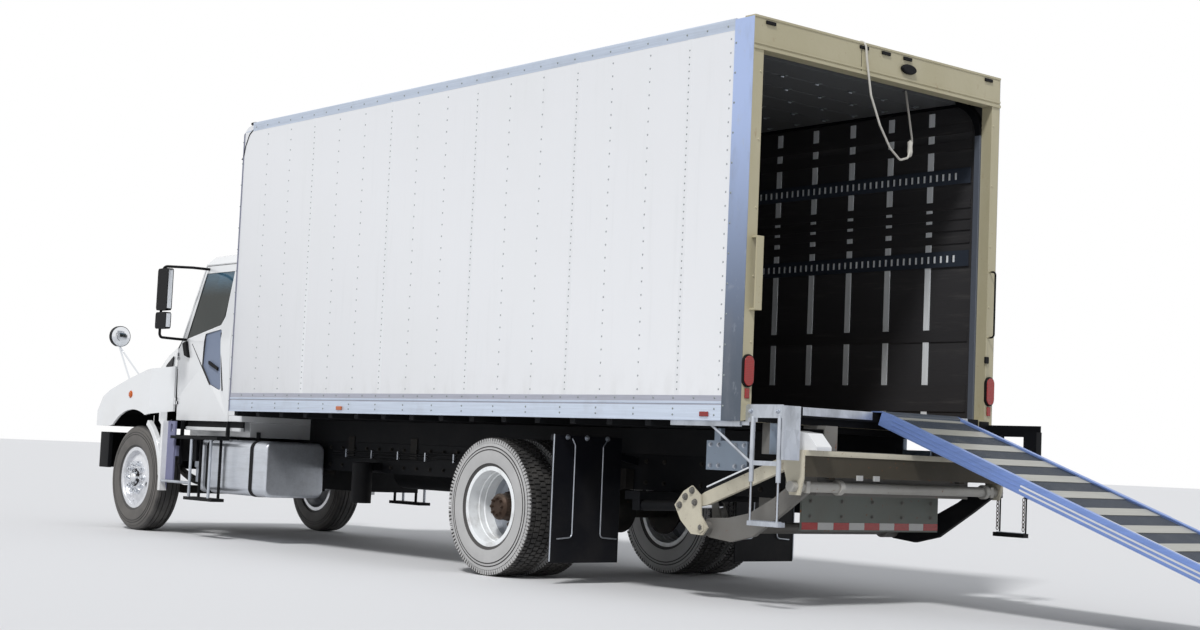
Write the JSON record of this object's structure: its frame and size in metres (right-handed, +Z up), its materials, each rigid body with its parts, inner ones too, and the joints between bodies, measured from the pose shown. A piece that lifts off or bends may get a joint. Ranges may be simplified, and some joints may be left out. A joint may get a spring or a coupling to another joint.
{
  "type": "box truck",
  "caption": "Conventional-cab box truck with a hollow freight body, twin rear wheels, tilting hood, cab doors, a walk ramp at its sill and a stowed tail lift.",
  "frame": {"origin": "on the ground, under the centre of the whole length with the ramp down", "axes": "+X to the front of the truck, +Y to its left, +Z up"},
  "size_m": [13.501, 2.92, 3.87],
  "materials": {
    "white_paint": "gloss white body paint",
    "cream_paint": "cream paint, chipped",
    "black_paint": "satin black chassis paint",
    "grey_steel": "grey painted lift steel",
    "galvanised": "galvanised sheet",
    "aluminium": "mill aluminium",
    "cast": "cast and forged steel",
    "wood": "worn laminated floor",
    "glass": "tinted glass",
    "black_plastic": "moulded black",
    "seat_fabric": "woven dark grey",
    "tyre": "worn road tyre",
    "rim_white": "white painted rim",
    "red_lens": "red lens",
    "clear_lens": "clear lens",
    "rubber": "rubber sheet",
    "chrome": "chrome"
  },
  "bodies": {
    "root": {"axles": "cast", "box_floor": "wood", "box_front_wall": "white_paint", "box_roof": "white_paint", "box_side_left": "white_paint", "box_side_right": "white_paint", "cab_floor": "white_paint", "cab_front_frame": "white_paint", "cab_glass": "glass", "cab_rear_wall": "white_paint", "cab_roof": "white_paint", "cab_steps": "black_paint", "chassis_rails": "black_paint", "corner_trims": "galvanised", "cross_sills": "black_paint", "crossmembers": "black_paint", "dashboard": "black_plastic", "door_tracks": "galvanised", "engine_block": "cast", "fender_skirts": "white_paint", "front_brackets": "black_paint", "front_bumper": "black_paint", "fuel_tank": "aluminium", "ladders": "galvanised", "lamps": "red_lens", "leaf_springs": "cast", "liftgate_frame": "black_paint", "long_sills": "black_paint", "mud_flaps": "rubber", "rear_frame": "cream_paint", "rollup_door": "white_paint", "seats": "seat_fabric", "underframe_canisters": "black_paint"},
    "knuckle_left": {"knuckle_left": "cast"},
    "knuckle_right": {"knuckle_right": "cast"},
    "wheel_front_left": {"front_tyre_left": "tyre", "front_rim_left": "rim_white"},
    "wheel_front_right": {"front_tyre_right": "tyre", "front_rim_right": "rim_white"},
    "wheel_rear_left": {"rear_tyre_left": "tyre", "rear_rims_left": "rim_white"},
    "wheel_rear_right": {"rear_tyre_right": "tyre", "rear_rims_right": "rim_white"},
    "door_left": {"door_left": "white_paint", "door_glass_left": "glass", "mirror_left": "black_plastic"},
    "door_right": {"door_right": "white_paint", "door_glass_right": "glass", "mirror_right": "black_plastic"},
    "hood": {"hood": "white_paint", "grille": "black_plastic", "headlamps": "clear_lens", "fender_mirrors": "chrome"},
    "steering_wheel": {"steering_wheel": "black_plastic"},
    "ramp": {"ramp": "aluminium"},
    "liftgate_arms": {"liftgate_arms": "grey_steel"},
    "liftgate_links": {"liftgate_links": "cream_paint"},
    "liftgate_platform": {"liftgate_platform": "grey_steel"},
    "liftgate_cylinders": {"liftgate_cylinders": "black_paint"},
    "liftgate_rods": {"liftgate_rods": "chrome"}
  },
  "joints": [
    {"name": "steer_left", "type": "hinge", "parent": "root", "child": "knuckle_left", "pos_m": [5.7975, 0.94, 0.5225], "axis": [0, 0, 1], "range_deg": [-35, 35]},
    {"name": "steer_right", "type": "hinge", "parent": "root", "child": "knuckle_right", "pos_m": [5.7975, -0.94, 0.5225], "axis": [0, 0, 1], "range_deg": [-35, 35]},
    {"name": "steering_wheel_turn", "type": "hinge", "parent": "root", "child": "steering_wheel", "pos_m": [4.7705, 0.52, 1.79], "axis": [-0.7719, 0, 0.6357], "range_deg": [-420, 420]},
    {"name": "front_wheel_left_spin", "type": "hinge", "parent": "knuckle_left", "child": "wheel_front_left", "pos_m": [5.7975, 1.06, 0.5225], "axis": [0, 1, 0], "continuous": true},
    {"name": "front_wheel_right_spin", "type": "hinge", "parent": "knuckle_right", "child": "wheel_front_right", "pos_m": [5.7975, -1.06, 0.5225], "axis": [0, 1, 0], "continuous": true},
    {"name": "rear_wheel_left_spin", "type": "hinge", "parent": "root", "child": "wheel_rear_left", "pos_m": [-0.1455, 0.9, 0.5225], "axis": [0, 1, 0], "continuous": true},
    {"name": "rear_wheel_right_spin", "type": "hinge", "parent": "root", "child": "wheel_rear_right", "pos_m": [-0.1455, -0.9, 0.5225], "axis": [0, 1, 0], "continuous": true},
    {"name": "door_left_hinge", "type": "hinge", "parent": "root", "child": "door_left", "pos_m": [5.1885, 1.102, 1.8], "axis": [0, 0, -1], "range_deg": [0, 68]},
    {"name": "door_right_hinge", "type": "hinge", "parent": "root", "child": "door_right", "pos_m": [5.1885, -1.102, 1.8], "axis": [0, 0, 1], "range_deg": [0, 68]},
    {"name": "hood_tilt", "type": "hinge", "parent": "root", "child": "hood", "pos_m": [6.6005, 0, 0.985], "axis": [0, 1, 0], "range_deg": [0, 60]},
    {"name": "ramp_hook", "type": "hinge", "parent": "root", "child": "ramp", "pos_m": [-2.9195, -0.345, 1.317], "axis": [0, 1, 0], "range_deg": [0, 19]},
    {"name": "liftgate_lower", "type": "hinge", "parent": "root", "child": "liftgate_arms", "pos_m": [-2.2995, 0, 0.49], "axis": [0, -1, 0], "range_deg": [0, 27]},
    {"name": "liftgate_level", "type": "hinge", "parent": "liftgate_arms", "child": "liftgate_platform", "pos_m": [-3.1495, 0, 0.8], "axis": [0, 1, 0], "range_deg": [0, 27]},
    {"name": "liftgate_link_swing", "type": "hinge", "parent": "root", "child": "liftgate_links", "pos_m": [-2.2295, 0, 0.655], "axis": [0, -1, 0], "range_deg": [0, 27]},
    {"name": "liftgate_barrel_swing", "type": "hinge", "parent": "root", "child": "liftgate_cylinders", "pos_m": [-1.4495, 0, 0.6], "axis": [0, 1, 0], "range_deg": [-0.0012, 0]},
    {"name": "liftgate_rod_slide", "type": "slide", "parent": "liftgate_cylinders", "child": "liftgate_rods", "axis": [-0.9991, 0, 0.042], "range_m": [0, 0.06992]}
  ],
  "couplings": [
    {"joint": "steer_right", "follows": "steer_left", "ratio": 1},
    {"joint": "steering_wheel_turn", "follows": "steer_left", "ratio": 12},
    {"joint": "liftgate_level", "follows": "liftgate_lower", "ratio": 1},
    {"joint": "liftgate_link_swing", "follows": "liftgate_lower", "ratio": 1},
    {"joint": "liftgate_barrel_swing", "follows": "liftgate_lower", "ratio": -0.0000404},
    {"joint": "liftgate_rod_slide", "follows": "liftgate_lower", "m_per_rad": 0.14834}
  ]
}
